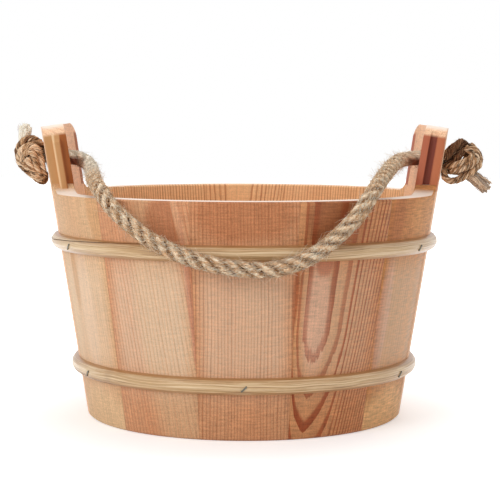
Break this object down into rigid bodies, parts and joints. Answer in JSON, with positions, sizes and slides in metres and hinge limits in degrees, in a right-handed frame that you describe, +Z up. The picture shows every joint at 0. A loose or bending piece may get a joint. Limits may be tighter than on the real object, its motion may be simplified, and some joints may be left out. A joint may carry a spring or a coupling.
{
  "type": "wooden sauna bucket",
  "caption": "Round wooden bucket of tongued staves, bound by cane hoops, with a rope handle knotted through two raised ears, for carrying and ladling water in a sauna.",
  "frame": {"origin": "on the bucket's axis, in the plane of the floor that it stands on", "axes": "+Z up along the bucket's axis, +X towards the right ear, -Y towards the side where the rope hangs"},
  "size_m": [0.3398, 0.2816, 0.2033],
  "materials": {
    "pine_stave": "bare planed pine",
    "pine_bottom": "bare planed pine",
    "cane_hoop": "split cane, natural",
    "steel_staple": "galvanised wire",
    "jute_rope": "three-strand laid jute, fuzzy"
  },
  "bodies": {
    "root": {"ear_stave_left": "pine_stave", "ear_stave_right": "pine_stave", "front_stave_1": "pine_stave", "front_stave_2": "pine_stave", "front_stave_3": "pine_stave", "front_stave_4": "pine_stave", "front_stave_5": "pine_stave", "back_stave_1": "pine_stave", "back_stave_2": "pine_stave", "back_stave_3": "pine_stave", "back_stave_4": "pine_stave", "back_stave_5": "pine_stave", "bottom_board_front": "pine_bottom", "bottom_board_middle": "pine_bottom", "bottom_board_back": "pine_bottom", "hoop_lower": "cane_hoop", "hoop_upper": "cane_hoop", "staples_lower": "steel_staple", "staples_upper": "steel_staple", "bail_rope": "jute_rope", "left_knot": "jute_rope", "right_knot": "jute_rope"}
  },
  "joints": []
}
